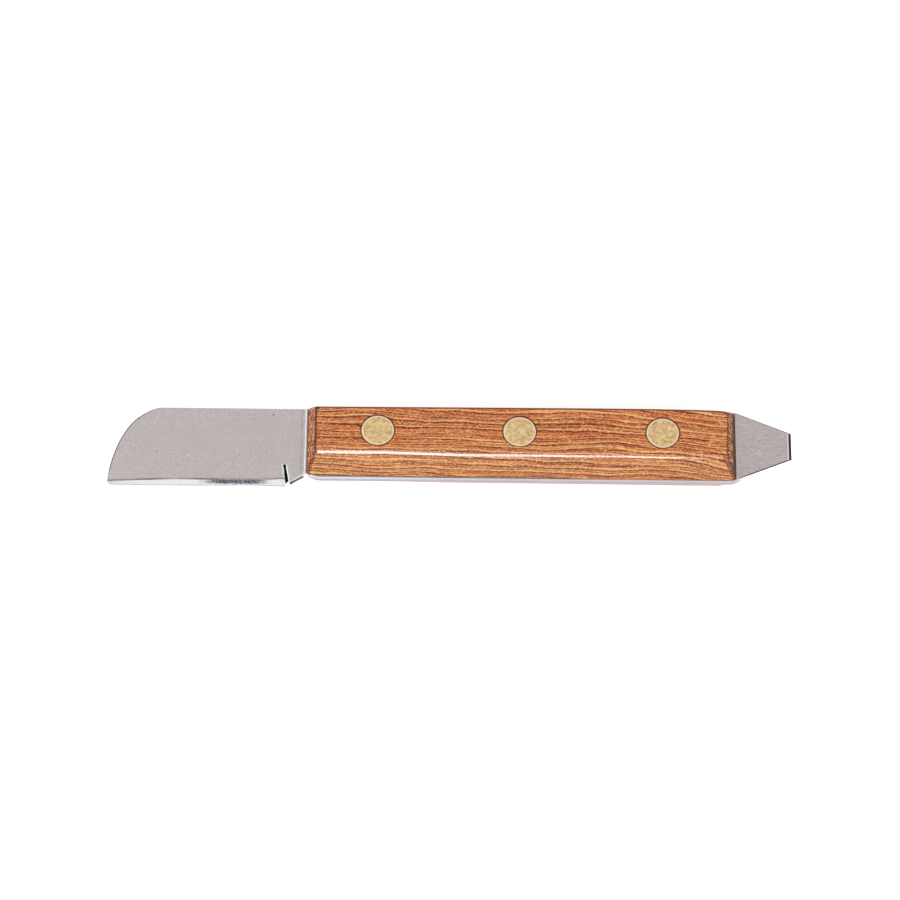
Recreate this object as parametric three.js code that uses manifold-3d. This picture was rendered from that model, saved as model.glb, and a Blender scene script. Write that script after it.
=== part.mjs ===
// Bench knife with a full tang, two wooden scales, three cutlers' rivets and a flat pry tip.
//
// Frame: millimetres, +Z up. The knife lies on the back scale's flat face (z = 0).
// +X runs along the knife from the blade to the pry tip, +Y is the spine side and -Y the cutting edge.
// The origin is the middle of the bounding box's bottom.
//
// Everything is drawn in the tang's own frame first (z = 0 is the tang's mid-plane, y = 0 its centreline)
// and one group lifts it to where it rests.

import * as THREE from 'three';
import { ConvexGeometry } from 'three/addons/geometries/ConvexGeometry.js';
import * as BufferGeometryUtils from 'three/addons/utils/BufferGeometryUtils.js';
import Module from 'manifold-3d';

// ---------------------------------------------------------------- driving dimensions, mm
const LENGTH = 178.0;            // over all, blade tip to pry end
const SPINE_Y = 9.98;            // spine of blade and tang above the rivets' line
const TANG_BELLY_Y = -9.8;       // belly of the tang below it
const EDGE_Y = -12.2;            // lowest point of the cutting edge
const TANG_THICKNESS = 2.3;      // stock thickness of the blank
const HANDLE_THICKNESS = 18.2;   // over both scales

const TIP_X = -LENGTH / 2;
const PRY_X = LENGTH / 2;
const HALF_T = TANG_THICKNESS / 2;
const FACE_Z = HANDLE_THICKNESS / 2;

// blade grind
const SPINE_HALF_T = 1.02;       // half thickness at the spine of the ground blade
const BELLY_HALF_T = 0.62;       // half thickness just above the edge bevel
const RICASSO_HALF_T = 0.98;     // the same beside the handle, where the wedge has run out
const EDGE_HALF_T = 0.06;        // half of the small flat left on the edge
const RUNOUT_START_X = -47.5;    // the wedge grind begins to run out
const FILLET_START_X = -39.2;    // hollow at the end of the grind
const GRIND_END_X = -37.6;       // full stock thickness from here on
const EDGE_LINE = [[-88, -12.14], [-77.8, -12.2], [-64.8, -12.17], [-54.4, -11.98], [-48.7, -12.02], [-44, -12.16], [-41, -12.16]];
const BEVEL_LINE = [[-91, -11.42], [-88.7, -11.3], [-83, -11.02], [-77.8, -10.86], [-71.3, -10.67], [-64, -10.68], [-57, -10.71],
  [-48.7, -10.61], [-44.6, -10.42], [-43, -10.38]];

// heel slit: middle of its two ends, widths there, and sideways shift from mid-plane to face
const SLIT_TOP = [-42.67, -6.33];
const SLIT_BOTTOM = [-41.75, -12.6];
const SLIT_TOP_W = 0.62;
const SLIT_BOTTOM_W = 0.92;
const SLIT_LEAN = 0.42;

// handle scales: plan of the face on the tang, and of the outer flat
const WOOD_PLAN = [[-37.4, 9.85], [74.5, 9.9], [74.5, -9.78], [68, -9.78], [37, -9.74], [-4, -9.58], [-24.9, -9.42],
  [-35.2, -9.28], [-37.1, -8.75]];
const FLAT_PLAN = [[-34.85, 6.66], [50, 6.9], [61.7, 6.82], [68, 6.62], [71.2, 6.3], [72.1, 5.3], [71.8, -6.2], [71.3, -7.05],
  [58, -7.08], [5.3, -6.8], [-34.85, -6.3]];

// pry tip
const PRY_SPINE_X = 75.7, PRY_BELLY_X = 73.4;
const PRY_END_SPINE_Y = 4.1, PRY_END_BELLY_Y = -3.4;
const PRY_BEVEL_X = 0.6, PRY_BEVEL_Z = 0.62;

// rivets
const RIVETS = [['blade_end', -18.75], ['middle', 18.0], ['pry_end', 55.05]];
const HEAD_R = 4.25, HEAD_DEPTH = 3.0;
const COUNTERBORE_R = 4.31;
const HOLLOW_R = 2.4, HOLLOW_BORE_R = 1.65, SOLID_R = 1.6;
const THROUGH_R = 2.5;
const ROUND_SEGMENTS = 36;

// ---------------------------------------------------------------- booleans
const wasm = await Module();
wasm.setup();

function toSolid(geometry) {
  const g = geometry.clone();
  g.deleteAttribute('normal');
  g.deleteAttribute('uv');
  const merged = BufferGeometryUtils.mergeVertices(g, 1e-4);
  return new wasm.Manifold(new wasm.Mesh({
    numProp: 3,
    vertProperties: new Float32Array(merged.attributes.position.array),
    triVerts: new Uint32Array(merged.index.array),
  }));
}

function toGeometry(solid) {
  const mesh = solid.getMesh();
  const g = new THREE.BufferGeometry();
  g.setAttribute('position', new THREE.BufferAttribute(new Float32Array(mesh.vertProperties), 3));
  g.setIndex(new THREE.BufferAttribute(new Uint32Array(mesh.triVerts), 1));
  g.computeVertexNormals();
  return g;
}

function mirrorZ(geometry) {
  const g = geometry.clone();
  g.scale(1, 1, -1);
  if (!g.index) g.setIndex([...Array(g.attributes.position.count).keys()]);
  const index = g.index.array;
  for (let i = 0; i < index.length; i += 3) [index[i], index[i + 1]] = [index[i + 1], index[i]];
  return g;
}

function plate(points, depth, z) {
  const g = new THREE.ExtrudeGeometry(new THREE.Shape(points.map(([x, y]) => new THREE.Vector2(x, y))),
    { depth, bevelEnabled: false, steps: 1 });
  g.translate(0, 0, z);
  return g;
}

function roundCutter(radius, z0, z1, x) {
  const g = new THREE.CylinderGeometry(radius, radius, z1 - z0, ROUND_SEGMENTS);
  g.rotateX(Math.PI / 2);
  g.translate(x, 0, (z0 + z1) / 2);
  return g;
}

// ---------------------------------------------------------------- blade_tang
// plan outline: distance behind the tip against height, following the round of the sheepsfoot nose
const NOSE = [
  [0.0, -11.15], [0.08, -10.0], [0.2, -8.85], [0.55, -6.76], [1.08, -4.44], [1.78, -2.12], [2.66, 0.22],
  [3.82, 2.56], [5.3, 4.91], [6.95, 6.75], [8.6, 8.0], [10.2, 8.95], [11.7, 9.6], [12.7, 9.9],
];
const nose = new THREE.SplineCurve(NOSE.map(([dx, y]) => new THREE.Vector2(TIP_X + dx, y)))
  .getPoints(40).map((p) => [p.x, p.y]);

function alongLine(line, x) {
  if (x <= line[0][0]) return line[0][1];
  for (let i = 1; i < line.length; i++) {
    const [x0, y0] = line[i - 1], [x1, y1] = line[i];
    if (x <= x1) return y0 + (y1 - y0) * (x - x0) / (x1 - x0);
  }
  return line[line.length - 1][1];
}

const outline = [
  ...EDGE_LINE.filter(([x]) => x < -42).reverse(),
  [TIP_X + 0.55, -12.0], [TIP_X + 0.2, -11.6],
  ...nose,
  [TIP_X + 13.3, SPINE_Y],
  [PRY_SPINE_X, SPINE_Y], [PRY_X, PRY_END_SPINE_Y], [PRY_X, PRY_END_BELLY_Y], [PRY_BELLY_X, TANG_BELLY_Y],
  [-33.7, TANG_BELLY_Y], [-34.5, -9.72], [-35.2, -9.52], [-35.9, -9.2], [-36.4, -8.96], [-36.84, -8.84], [-37.35, -8.98],
  [-38.37, -9.55], [-41.45, -11.45], [-41.95, -12.16],
].reverse();

// half thickness of the ground blade: a wedge from spine to bevel that runs out towards the handle
function smooth(a, b, x) {
  const t = Math.min(1, Math.max(0, (x - a) / (b - a)));
  return t * t * (3 - 2 * t);
}
function groundHalfThickness(x, y) {
  const foot = alongLine(BEVEL_LINE, x);
  const share = Math.min(1, Math.max(0, (SPINE_Y - y) / (SPINE_Y - foot)));
  const belly = BELLY_HALF_T + (RICASSO_HALF_T - BELLY_HALF_T) * smooth(RUNOUT_START_X, FILLET_START_X, x);
  const wedge = SPINE_HALF_T + (belly - SPINE_HALF_T) * share;
  const rise = Math.min(1, Math.max(0, (x - FILLET_START_X) / (GRIND_END_X - FILLET_START_X)));
  return wedge + (HALF_T + 0.02 - wedge) * rise * rise;
}

// cutter above the blade: a box whose underside takes the shape of the grind
function grindCutter() {
  const columns = [TIP_X - 2, -88.7, -83, -77.8, -71.3, -64, -57, -52, -48.7, RUNOUT_START_X, -46.3, -45.3, -44.3, -43.4, -42.2,
    -41.5, -40.8, -40.0, FILLET_START_X, -38.9, -38.6, -38.3, -38.05, -37.8, GRIND_END_X];
  const rows = [SPINE_Y + 1.5, SPINE_Y, 5, 0, -5, 'foot', 'edge', 'below'];
  const g = new THREE.BoxGeometry(1, 1, 1, columns.length - 1, rows.length - 1, 1);
  const position = g.attributes.position;
  for (let i = 0; i < position.count; i++) {
    const c = Math.round((position.getX(i) + 0.5) * (columns.length - 1));
    const r = Math.round((0.5 - position.getY(i)) * (rows.length - 1));
    const x = columns[c];
    const foot = alongLine(BEVEL_LINE, x), edge = alongLine(EDGE_LINE, x);
    const y = rows[r] === 'foot' ? foot : rows[r] === 'edge' ? edge : rows[r] === 'below' ? edge - 1.2 : rows[r];
    let z = 4;
    if (position.getZ(i) < 0) {
      z = groundHalfThickness(x, Math.max(y, foot));
      if (x <= -43.4 && y <= edge) z = EDGE_HALF_T;
    }
    position.setXYZ(i, x, y, z);
  }
  return g;
}

function bladeTang() {
  let body = toSolid(plate(outline, TANG_THICKNESS, -HALF_T));

  const upper = grindCutter();
  body = body.subtract(toSolid(upper)).subtract(toSolid(mirrorZ(upper)));

  // heel slit, leaning through the thickness
  const slit = new ConvexGeometry([-1, 1].flatMap((side) => {
    const z = side * 2.0, lean = -side * SLIT_LEAN * (2.0 / HALF_T);
    return [
      [SLIT_TOP[0] - SLIT_TOP_W / 2, SLIT_TOP[1]], [SLIT_TOP[0] + SLIT_TOP_W / 2, SLIT_TOP[1]],
      [SLIT_TOP[0], SLIT_TOP[1] + 0.28],
      [SLIT_BOTTOM[0] - SLIT_BOTTOM_W / 2, SLIT_BOTTOM[1]], [SLIT_BOTTOM[0] + SLIT_BOTTOM_W / 2, SLIT_BOTTOM[1]],
    ].map(([x, y]) => new THREE.Vector3(x + lean, y, z));
  }));
  body = body.subtract(toSolid(slit));

  // small bevels on both faces of the pry end
  for (const side of [-1, 1]) {
    const wedge = new ConvexGeometry([-12, 12].flatMap((y) => [
      new THREE.Vector3(PRY_X + 1, y, side * (HALF_T + 1)),
      new THREE.Vector3(PRY_X - PRY_BEVEL_X * (1 + 1 / PRY_BEVEL_Z), y, side * (HALF_T + 1)),
      new THREE.Vector3(PRY_X + PRY_BEVEL_X / PRY_BEVEL_Z, y, side * (HALF_T - PRY_BEVEL_Z - 1)),
    ]));
    body = body.subtract(toSolid(wedge));
  }

  for (const [, x] of RIVETS) body = body.subtract(toSolid(roundCutter(THROUGH_R, -3, 3, x)));
  return toGeometry(body);
}

// ---------------------------------------------------------------- scales
function scale() {
  const corners = [
    ...WOOD_PLAN.map(([x, y]) => new THREE.Vector3(x, y, HALF_T)),
    ...FLAT_PLAN.map(([x, y]) => new THREE.Vector3(x, y, FACE_Z)),
  ];
  let body = toSolid(new ConvexGeometry(corners));
  for (const [, x] of RIVETS) {
    body = body.subtract(toSolid(roundCutter(THROUGH_R, 0, FACE_Z + 2, x)))
      .subtract(toSolid(roundCutter(COUNTERBORE_R, FACE_Z - HEAD_DEPTH, FACE_Z + 2, x)));
  }
  return toGeometry(body);
}

// ---------------------------------------------------------------- rivets
function turned(profile, x) {
  const g = new THREE.LatheGeometry(profile.map(([r, z]) => new THREE.Vector2(r, z)), ROUND_SEGMENTS);
  g.rotateX(Math.PI / 2);
  g.translate(x, 0, 0);
  return g;
}
const HEAD_SEAT_Z = FACE_Z - HEAD_DEPTH;
const malePart = [
  [0, -5.3], [SOLID_R - 0.35, -5.3], [SOLID_R, -4.7], [SOLID_R, HEAD_SEAT_Z], [HEAD_R, HEAD_SEAT_Z],
  [HEAD_R, FACE_Z], [0, FACE_Z],
];
const femalePart = [
  [0, -FACE_Z], [HEAD_R, -FACE_Z], [HEAD_R, -HEAD_SEAT_Z], [HOLLOW_R, -HEAD_SEAT_Z],
  [HOLLOW_R, HEAD_SEAT_Z - 0.3], [HOLLOW_BORE_R, HEAD_SEAT_Z - 0.3], [HOLLOW_BORE_R, -5.6], [0, -5.6],
];

// ---------------------------------------------------------------- assembly
const steel = () => new THREE.MeshStandardMaterial({ color: 0xbdb5b5, roughness: 0.34, metalness: 1.0 });
const rosewood = () => new THREE.MeshStandardMaterial({ color: 0xc08054, roughness: 0.38, metalness: 0.0 });
const brass = () => new THREE.MeshStandardMaterial({ color: 0xd6b683, roughness: 0.36, metalness: 1.0 });

const knife = new THREE.Group();
function add(name, geometry, material) {
  const mesh = new THREE.Mesh(geometry, material);
  mesh.name = name;
  knife.add(mesh);
}

add('blade_tang', bladeTang(), steel());
add('front_scale', scale(), rosewood());
add('back_scale', mirrorZ(scale()), rosewood());
for (const [name, x] of RIVETS) {
  add(`${name}_rivet_male`, turned(malePart, x), brass());
  add(`${name}_rivet_female`, turned(femalePart, x), brass());
}

knife.position.set(0, -(SPINE_Y + EDGE_Y) / 2, FACE_Z);

const part = new THREE.Group();
part.add(knife);

export default part;
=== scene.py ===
import math

import bpy
import numpy as np
from mathutils import Matrix, Vector
from mathutils.geometry import delaunay_2d_cdt


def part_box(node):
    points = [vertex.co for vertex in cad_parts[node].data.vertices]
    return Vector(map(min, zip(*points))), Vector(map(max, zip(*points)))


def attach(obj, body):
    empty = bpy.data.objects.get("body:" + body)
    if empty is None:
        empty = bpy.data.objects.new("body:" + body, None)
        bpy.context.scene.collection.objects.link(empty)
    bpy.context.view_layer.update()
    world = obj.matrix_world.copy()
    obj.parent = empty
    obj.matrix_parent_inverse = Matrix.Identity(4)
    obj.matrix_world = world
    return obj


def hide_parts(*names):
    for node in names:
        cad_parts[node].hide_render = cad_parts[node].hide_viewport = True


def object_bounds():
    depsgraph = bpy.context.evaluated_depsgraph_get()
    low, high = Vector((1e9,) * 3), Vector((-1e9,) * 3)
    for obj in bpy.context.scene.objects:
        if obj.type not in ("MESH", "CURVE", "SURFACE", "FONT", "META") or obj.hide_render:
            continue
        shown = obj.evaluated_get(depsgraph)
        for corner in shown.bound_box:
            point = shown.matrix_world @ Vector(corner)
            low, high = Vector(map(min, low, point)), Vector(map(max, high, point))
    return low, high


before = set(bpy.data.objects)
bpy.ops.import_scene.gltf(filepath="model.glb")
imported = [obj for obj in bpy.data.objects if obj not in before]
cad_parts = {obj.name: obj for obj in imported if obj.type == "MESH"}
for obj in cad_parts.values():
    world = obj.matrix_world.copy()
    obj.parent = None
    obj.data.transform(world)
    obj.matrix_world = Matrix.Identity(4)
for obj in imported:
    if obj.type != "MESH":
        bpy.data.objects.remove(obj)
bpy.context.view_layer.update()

# All shapes are drawn in the tang's own frame, in millimetres: x along the knife, y = 0 on the line of the rivets,
# z = 0 on the tang's mid-plane. TO_ROW lifts them to where the CAD part lies.
SPINE = 9.98
STEEL_LOW, STEEL_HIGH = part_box("blade_tang")
OFF = np.array([0.0, STEEL_HIGH.y * 1000 - SPINE, (STEEL_LOW.z + STEEL_HIGH.z) * 500])
HALF_T = (STEEL_HIGH.z - STEEL_LOW.z) * 500
FACE_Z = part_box("front_scale")[1].z * 1000 - OFF[2]
RIVET_X = [sum(c.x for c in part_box(n + "_rivet_male")) * 500 for n in ("blade_end", "middle", "pry_end")]
HEAD_R = (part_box("middle_rivet_male")[1].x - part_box("middle_rivet_male")[0].x) * 500
SEAT_Z = FACE_Z - 3.0
TIP = STEEL_LOW.x * 1000
BUTT = STEEL_HIGH.x * 1000
SLIT_TOP_Y = -6.55
SLIT_X0 = -42.98


def clamp(v, a=0.0, b=1.0):
    return max(a, min(b, v))


def smooth(a, b, v):
    t = clamp((v - a) / (b - a))
    return t * t * (3 - 2 * t)


def line(points):
    xs, ys = [p[0] for p in points], [p[1] for p in points]
    return lambda x: float(np.interp(x, xs, ys))


def soft_line(points, n=24):
    """A smooth curve through points with rising x (Catmull-Rom, sampled)."""
    p = np.array(points, float)
    p = np.vstack([2 * p[0] - p[1], p, 2 * p[-1] - p[-2]])
    out = []
    for i in range(1, len(p) - 2):
        for t in np.linspace(0, 1, n, endpoint=False):
            out.append(0.5 * (2 * p[i] + (p[i + 1] - p[i - 1]) * t + (2 * p[i - 1] - 5 * p[i] + 4 * p[i + 1] - p[i + 2]) * t * t
                              + (3 * p[i] - p[i - 1] - 3 * p[i + 1] + p[i + 2]) * t ** 3))
    out.append(p[-2])
    out = np.array(out)
    return out


def new_object(name, verts, faces, materials, indices=None, smooth_shade=True):
    """A mesh object in the row frame, in metres."""
    co = (np.array(verts, float) + OFF) / 1000
    mesh = bpy.data.meshes.new(name)
    mesh.from_pydata([tuple(v) for v in co], [], faces)
    for m in materials:
        mesh.materials.append(m)
    if indices is not None:
        mesh.polygons.foreach_set("material_index", indices)
    mesh.polygons.foreach_set("use_smooth", [smooth_shade] * len(mesh.polygons))
    mesh.validate()
    mesh.update()
    ob = bpy.data.objects.new(name, mesh)
    bpy.context.scene.collection.objects.link(ob)
    return ob


def crisp(ob, degrees, between=()):
    """Creases sharper than this stay sharp, and big faces keep their own normals. Edges between these two materials are sharp too."""
    ob.data.set_sharp_from_angle(angle=math.radians(degrees))
    if between:
        owners = {}
        for p in ob.data.polygons:
            for k in p.edge_keys:
                owners.setdefault(k, set()).add(p.material_index)
        for e in ob.data.edges:
            if tuple(sorted(owners.get(tuple(sorted(e.vertices)), ()))) in between:
                e.use_edge_sharp = True
    m = ob.modifiers.new("weighted", "WEIGHTED_NORMAL")
    m.mode = "FACE_AREA"
    m.weight = 60
    m.keep_sharp = True


# ------------------------------------------------------------------ node helpers
class Nodes:
    def __init__(self, name, view_colour, metallic=0.0, roughness=0.5):
        self.mat = bpy.data.materials.new(name)
        self.mat.use_nodes = True
        self.mat.diffuse_color = (*view_colour, 1)
        self.mat.metallic = metallic
        self.mat.roughness = roughness
        self.tree = self.mat.node_tree
        self.tree.nodes.clear()
        self.out = self.tree.nodes.new("ShaderNodeOutputMaterial")
        self.shader = self.tree.nodes.new("ShaderNodeBsdfPrincipled")
        self.link(self.shader.outputs[0], self.out.inputs["Surface"])
        coords = self.tree.nodes.new("ShaderNodeTexCoord")
        # object coordinates in millimetres, moved to the tang's own frame
        self.mm = self.vmath("MULTIPLY", coords.outputs["Object"], (1000, 1000, 1000))
        self.mm = self.vmath("SUBTRACT", self.mm, tuple(OFF))
        geo = self.tree.nodes.new("ShaderNodeNewGeometry")
        self.normal = geo.outputs["Normal"]
        self.xyz = self.split(self.mm)
        self.nxyz = self.split(self.normal)

    def link(self, a, b):
        self.tree.links.new(a, b)

    def put(self, socket, value):
        if hasattr(value, "is_output"):
            self.link(value, socket)
        else:
            socket.default_value = value

    def split(self, v):
        n = self.tree.nodes.new("ShaderNodeSeparateXYZ")
        self.link(v, n.inputs[0])
        return n.outputs

    def join(self, x, y, z):
        n = self.tree.nodes.new("ShaderNodeCombineXYZ")
        for s, v in zip(n.inputs, (x, y, z)):
            self.put(s, v)
        return n.outputs[0]

    def vmath(self, op, a, b):
        n = self.tree.nodes.new("ShaderNodeVectorMath")
        n.operation = op
        self.put(n.inputs[0], a)
        self.put(n.inputs[1], b)
        return n.outputs["Value"] if op in ("LENGTH", "DOT_PRODUCT", "DISTANCE") else n.outputs["Vector"]

    def math(self, op, a, b=0.0, c=0.0, clamped=False):
        n = self.tree.nodes.new("ShaderNodeMath")
        n.operation = op
        n.use_clamp = clamped
        self.put(n.inputs[0], a)
        self.put(n.inputs[1], b)
        self.put(n.inputs[2], c)
        return n.outputs[0]

    def step(self, v, a, b, lo=0.0, hi=1.0):
        """lo below a, hi above b, smooth between."""
        n = self.tree.nodes.new("ShaderNodeMapRange")
        n.interpolation_type = "SMOOTHSTEP"
        self.put(n.inputs["Value"], v)
        for k, x in (("From Min", a), ("From Max", b), ("To Min", lo), ("To Max", hi)):
            n.inputs[k].default_value = x
        return n.outputs["Result"]

    def noise(self, v, scale=(1, 1, 1), detail=2.0, rough=0.5, distortion=0.0, offset=(0, 0, 0)):
        w = self.vmath("MULTIPLY", v, scale)
        if any(offset):
            w = self.vmath("ADD", w, offset)
        n = self.tree.nodes.new("ShaderNodeTexNoise")
        n.inputs["Scale"].default_value = 1.0
        n.inputs["Detail"].default_value = detail
        n.inputs["Roughness"].default_value = rough
        n.inputs["Distortion"].default_value = distortion
        self.link(w, n.inputs["Vector"])
        return n.outputs[0]

    def spots(self, v, scale, feature="F1", offset=(0, 0, 0)):
        w = self.vmath("MULTIPLY", v, scale)
        w = self.vmath("ADD", w, offset)
        n = self.tree.nodes.new("ShaderNodeTexVoronoi")
        n.feature = feature
        n.inputs["Scale"].default_value = 1.0
        self.link(w, n.inputs["Vector"])
        return n.outputs["Distance"]

    def ramp(self, v, stops):
        n = self.tree.nodes.new("ShaderNodeValToRGB")
        self.link(v, n.inputs[0])
        e = n.color_ramp.elements
        while len(e) < len(stops):
            e.new(0.5)
        for i, (p, c) in enumerate(stops):
            e[i].position = p
            e[i].color = (*c, 1)
        return n.outputs[0]

    def mix(self, f, a, b, blend="MIX"):
        n = self.tree.nodes.new("ShaderNodeMix")
        n.data_type = "RGBA"
        n.blend_type = blend
        n.clamp_factor = True
        self.put(n.inputs[0], f)
        self.put(n.inputs[6], a if hasattr(a, "is_output") else (*a, 1))
        self.put(n.inputs[7], b if hasattr(b, "is_output") else (*b, 1))
        return n.outputs[2]

    def bump(self, height, strength, distance, normal=None):
        n = self.tree.nodes.new("ShaderNodeBump")
        n.inputs["Strength"].default_value = strength
        n.inputs["Distance"].default_value = distance
        self.link(height, n.inputs["Height"])
        if normal is not None:
            self.link(normal, n.inputs["Normal"])
        return n.outputs[0]

    def set(self, **values):
        for k, v in values.items():
            self.put(self.shader.inputs[k.replace("_", " ")], v)


def srgb(r, g, b):
    f = lambda c: c / 12.92 if c <= 0.04045 else ((c + 0.055) / 1.055) ** 2.4
    return tuple(f(c / 255) for c in (r, g, b))


# ------------------------------------------------------------------ steel
def steel_face(name):
    """Satin ground steel: fine lengthwise scratches, faint mottling, a few specks of pitting."""
    m = Nodes(name, (0.55, 0.52, 0.52), 1.0, 0.3)
    cloud = m.noise(m.mm, (0.16, 0.2, 0.2), 4, 0.6)
    grit = m.noise(m.mm, (3.2, 3.6, 3.6), 3, 0.7, offset=(7, 3, 1))
    scratch = m.noise(m.mm, (0.35, 9.0, 9.0), 3, 0.65, offset=(2, 9, 4))
    cross = m.noise(m.mm, (6.0, 0.5, 0.5), 2, 0.6, offset=(5, 1, 8))
    fine = m.math("MULTIPLY_ADD", scratch, 0.6, m.math("MULTIPLY", cross, 0.4))
    base = m.ramp(cloud, [(0.3, (0.705, 0.644, 0.642)), (0.7, (0.735, 0.674, 0.669))])
    base = m.mix(m.step(grit, 0.42, 0.62, 0.0, 0.85), base, (0.545, 0.480, 0.470))
    base = m.mix(m.step(fine, 0.52, 0.66, 0.0, 0.5), base, (0.85, 0.81, 0.80))
    # painted shade: a broken dark line where the face starts to rise into the fillet before the tang
    start = m.noise(m.mm, (0.3, 1.7, 1.7), 3, 0.7, offset=(3, 3, 3))
    line = m.math("MULTIPLY", m.step(m.xyz[0], -38.98, -38.84), m.step(m.xyz[0], -38.62, -38.46, 1.0, 0.0))
    base = m.mix(m.math("MULTIPLY", line, m.step(start, 0.46, 0.56, 0.12, 0.50)), base, (0.30, 0.24, 0.26))
    pits = m.spots(m.mm, (0.16, 0.16, 0.16), offset=(0.37, 0.21, 0.4))
    base = m.mix(m.step(pits, 0.025, 0.045, 0.85, 0.0), base, (0.12, 0.09, 0.09))
    # painted highlight: a bright band along the slit's lips
    x, y, z = m.xyz
    drop = m.math("DIVIDE", m.math("SUBTRACT", SLIT_TOP_Y, y), 6.27, clamped=True)
    away = m.math("ABSOLUTE", m.math("SUBTRACT", x, m.math("MULTIPLY_ADD", drop, 1.03, SLIT_X0)))
    slit_highlight = m.math("MULTIPLY", m.step(away, 0.62, 0.86, 1.0, 0.0), m.step(y, SLIT_TOP_Y + 0.1, SLIT_TOP_Y + 0.6, 1.0, 0.0))
    base = m.mix(slit_highlight, base, (0.995, 0.99, 0.985))
    for sx, sy, sr, colour in ((-46.25, 8.13, 0.30, (0.10, 0.08, 0.08)), (-68.2, -3.65, 0.26, (1.0, 1.0, 1.0))):
        d = m.vmath("LENGTH", m.join(m.math("SUBTRACT", x, sx), m.math("SUBTRACT", y, sy), 0.0), (0, 0, 0))
        base = m.mix(m.step(d, sr * 0.5, sr, 0.8, 0.0), base, colour)
    # the pry tip is more worn: blotched, with a few bright scratches
    blotch = m.noise(m.mm, (0.5, 1.6, 1.6), 4, 0.75, offset=(4, 6, 2))
    tip = m.step(x, 72.4, 74.4)
    base = m.mix(m.math("MULTIPLY", tip, m.step(blotch, 0.36, 0.62, 0.55, 0.0)), base, (0.49, 0.425, 0.415))
    d = m.vmath("LENGTH", m.join(m.math("SUBTRACT", x, 80.2), m.math("ADD", y, 1.6), 0.0), (0, 0, 0))
    nick = m.noise(m.mm, (2.2, 0.8, 0.8), 3, 0.7, offset=(2, 2, 6))
    base = m.mix(m.math("MULTIPLY", m.step(d, 0.5, 1.5, 0.40, 0.0), m.step(nick, 0.52, 0.64)), base, (0.90, 0.87, 0.85))
    rough = m.math("ADD", m.math("MULTIPLY", cloud, 0.10), m.math("MULTIPLY_ADD", grit, 0.12, 0.20))
    m.set(Base_Color=base, Metallic=1.0, Roughness=rough)
    height = m.math("ADD", m.math("MULTIPLY", fine, 0.7), m.math("MULTIPLY", grit, 0.3))
    m.set(Normal=m.bump(height, 0.22, 0.00003))
    return m.mat


def steel_bevel(name):
    """The honed edge bevel: nearly polished, with sharpening lines across it and one darker stretch, a painted dark
    reflection.
    """
    m = Nodes(name, (0.85, 0.85, 0.84), 1.0, 0.2)
    hone = m.noise(m.mm, (5.5, 0.6, 0.6), 3, 0.6)
    ragged = m.noise(m.mm, (0.9, 1.8, 1.8), 4, 0.7, offset=(3, 1, 6))
    x = m.math("MULTIPLY_ADD", m.math("SUBTRACT", ragged, 0.5), 5.0, m.xyz[0])
    y = m.math("MULTIPLY_ADD", m.math("SUBTRACT", ragged, 0.5), 1.0, m.xyz[1])
    # painted dark reflection: a ragged dark blue-grey stretch of the bevel
    painted_dark_reflection = m.math("MULTIPLY", m.step(x, -66.0, -60.0), m.step(x, -51.0, -45.5, 1.0, 0.0))
    painted_dark_reflection = m.math("MULTIPLY", painted_dark_reflection, m.step(y, -11.72, -11.38, 0.0, 1.0))
    mottle = m.noise(m.mm, (2.6, 1.6, 1.6), 3, 0.65, offset=(2, 8, 1))
    painted_dark_reflection = m.math("MULTIPLY", painted_dark_reflection, m.step(mottle, 0.34, 0.50, 0.62, 1.0))
    base = m.ramp(hone, [(0.3, (0.80, 0.79, 0.78)), (0.7, (0.95, 0.94, 0.93))])
    base = m.mix(m.step(m.xyz[0], -88.0, -78.0, 0.25, 0.0), base, (0.60, 0.595, 0.60))
    base = m.mix(m.math("MULTIPLY", painted_dark_reflection, 0.92), base, (0.062, 0.052, 0.115))
    m.set(Base_Color=base, Metallic=1.0, Roughness=m.math("MULTIPLY_ADD", hone, 0.12, 0.12))
    m.set(Normal=m.bump(hone, 0.15, 0.00001))
    return m.mat


def steel_cut(name):
    """Blanked and filed outline of the steel: finer across, a little darker."""
    m = Nodes(name, (0.5, 0.48, 0.49), 1.0, 0.35)
    grain = m.noise(m.mm, (0.5, 7.0, 7.0), 3, 0.6, offset=(1, 5, 2))
    cloud = m.noise(m.mm, (0.3, 0.6, 0.9), 3, 0.6, offset=(8, 2, 3))
    base = m.ramp(grain, [(0.35, (0.60, 0.55, 0.56)), (0.65, (0.78, 0.74, 0.76))])
    base = m.mix(m.step(cloud, 0.45, 0.72, 0.0, 0.4), base, (0.46, 0.41, 0.42))
    side = m.ramp(grain, [(0.35, (0.34, 0.310, 0.335)), (0.65, (0.42, 0.390, 0.420))])
    # painted highlight: a pale blue band along the upper half of the belly-side wall under the handle, strongest at the
    # front
    painted_blue_band = m.math("MULTIPLY", m.step(m.xyz[2], -0.1, 0.5), m.step(m.xyz[0], -30, 20, 1.0, 0.35))
    side = m.mix(m.math("MULTIPLY", painted_blue_band, m.step(m.xyz[1], -0.5, 0.5, 1.0, 0.0)), side, (0.50, 0.60, 0.72))
    handle = m.math("MULTIPLY", m.step(m.xyz[0], -37.2, -35.0), m.step(m.xyz[0], 74.6, 76.0, 1.0, 0.0))
    base = m.mix(handle, base, side)
    base = m.mix(m.step(m.xyz[0], 75.4, 76.4), base, (0.86, 0.85, 0.85))
    m.set(Base_Color=base, Metallic=1.0, Roughness=m.math("MULTIPLY_ADD", cloud, 0.2, 0.18))
    m.set(Normal=m.bump(grain, 0.25, 0.00004))
    return m.mat


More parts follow.
